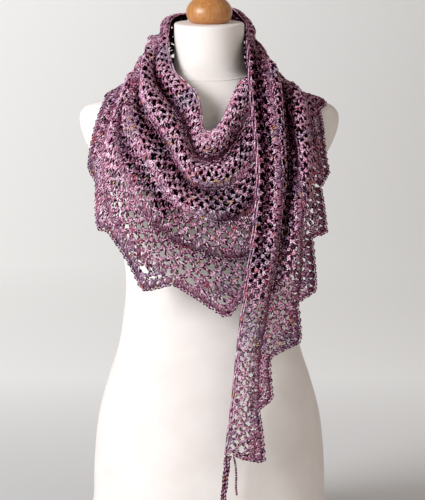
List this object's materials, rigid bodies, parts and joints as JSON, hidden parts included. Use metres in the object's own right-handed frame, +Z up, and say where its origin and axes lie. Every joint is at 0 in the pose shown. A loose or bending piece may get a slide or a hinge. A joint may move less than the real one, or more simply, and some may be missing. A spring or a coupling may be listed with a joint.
{
  "type": "crocheted lace shawl on a limbless dress form",
  "caption": "Open crochet shawl with a saw-tooth edge, wound round the neck as a cowl with one long tail, on a padded dress form with a turned wooden knob.",
  "frame": {"origin": "middle of the dress form's flat base", "axes": "+Z up, -Y the front of the form, +X the right as seen from the front"},
  "size_m": [0.392, 0.2937, 0.8579],
  "materials": {
    "jersey": "cream cotton jersey over padding",
    "varnished_wood": "turned and varnished",
    "crochet_yarn": "open crochet in variegated mauve, plum and grey-blue yarn"
  },
  "bodies": {
    "root": {"form_torso": "jersey", "form_knob": "varnished_wood", "shawl_front": "crochet_yarn", "shawl_back": "crochet_yarn", "shawl_tail": "crochet_yarn", "shawl_twist": "crochet_yarn", "shawl_strand": "crochet_yarn"}
  },
  "joints": []
}
